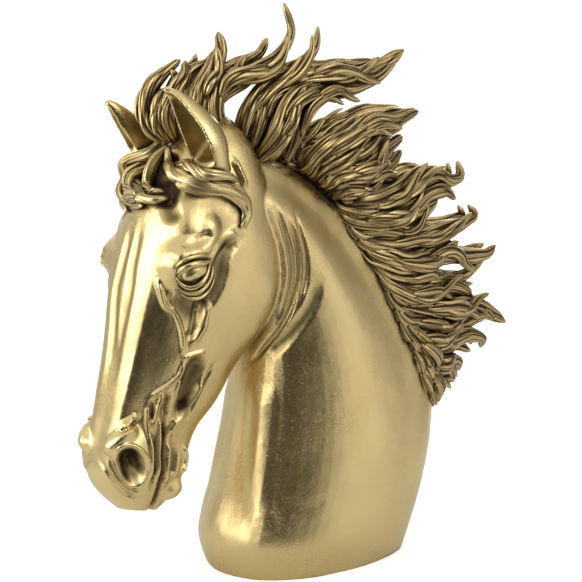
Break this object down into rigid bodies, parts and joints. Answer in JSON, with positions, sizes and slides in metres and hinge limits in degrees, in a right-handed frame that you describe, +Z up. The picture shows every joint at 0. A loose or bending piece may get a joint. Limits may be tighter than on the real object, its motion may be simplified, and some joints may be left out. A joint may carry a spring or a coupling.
{
  "type": "horse head statue",
  "caption": "Cast horse head and neck with a wind-blown mane and forelock, cut off flat below, in worn antique gold.",
  "frame": {"origin": "on the flat underside, below the middle of the neck", "axes": "+Z up from the underside to the top of the mane, -Y the way the horse faces, +X the horse's left"},
  "size_m": [0.1174, 0.3943, 0.4199],
  "materials": {
    "antique_gold": "satin antique gold on cast resin, with dark patina in the hair"
  },
  "bodies": {
    "root": {"horse_head": "antique_gold"}
  },
  "joints": []
}
